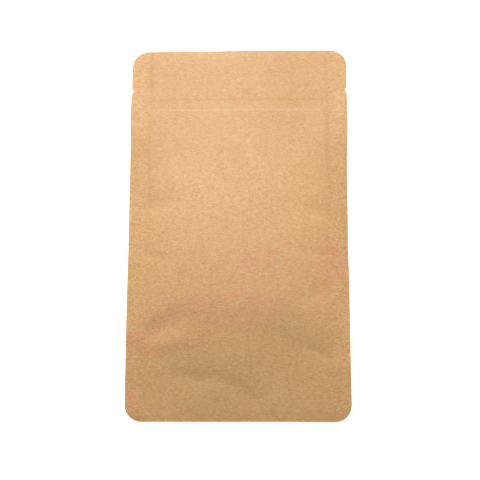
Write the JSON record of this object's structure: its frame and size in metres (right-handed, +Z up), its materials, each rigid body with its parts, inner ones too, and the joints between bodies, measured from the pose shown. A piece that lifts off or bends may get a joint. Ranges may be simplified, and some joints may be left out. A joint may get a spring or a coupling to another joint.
{
  "type": "coffee bag",
  "caption": "Empty brown paper stand-up pouch with rounded corners, tear notches, a press-to-close strip and a folded bottom gusset, lying flat.",
  "frame": {"origin": "on the flat of the back, under the middle of the bag, on the surface that it lies on", "axes": "+X across the bag, +Y along it towards its mouth, +Z up, out of the front panel"},
  "size_m": [0.13, 0.225, 0.0071],
  "materials": {
    "brown_paper": "matt unbleached paper laminate with fine fibres"
  },
  "bodies": {
    "root": {"pouch": "brown_paper"}
  },
  "joints": []
}
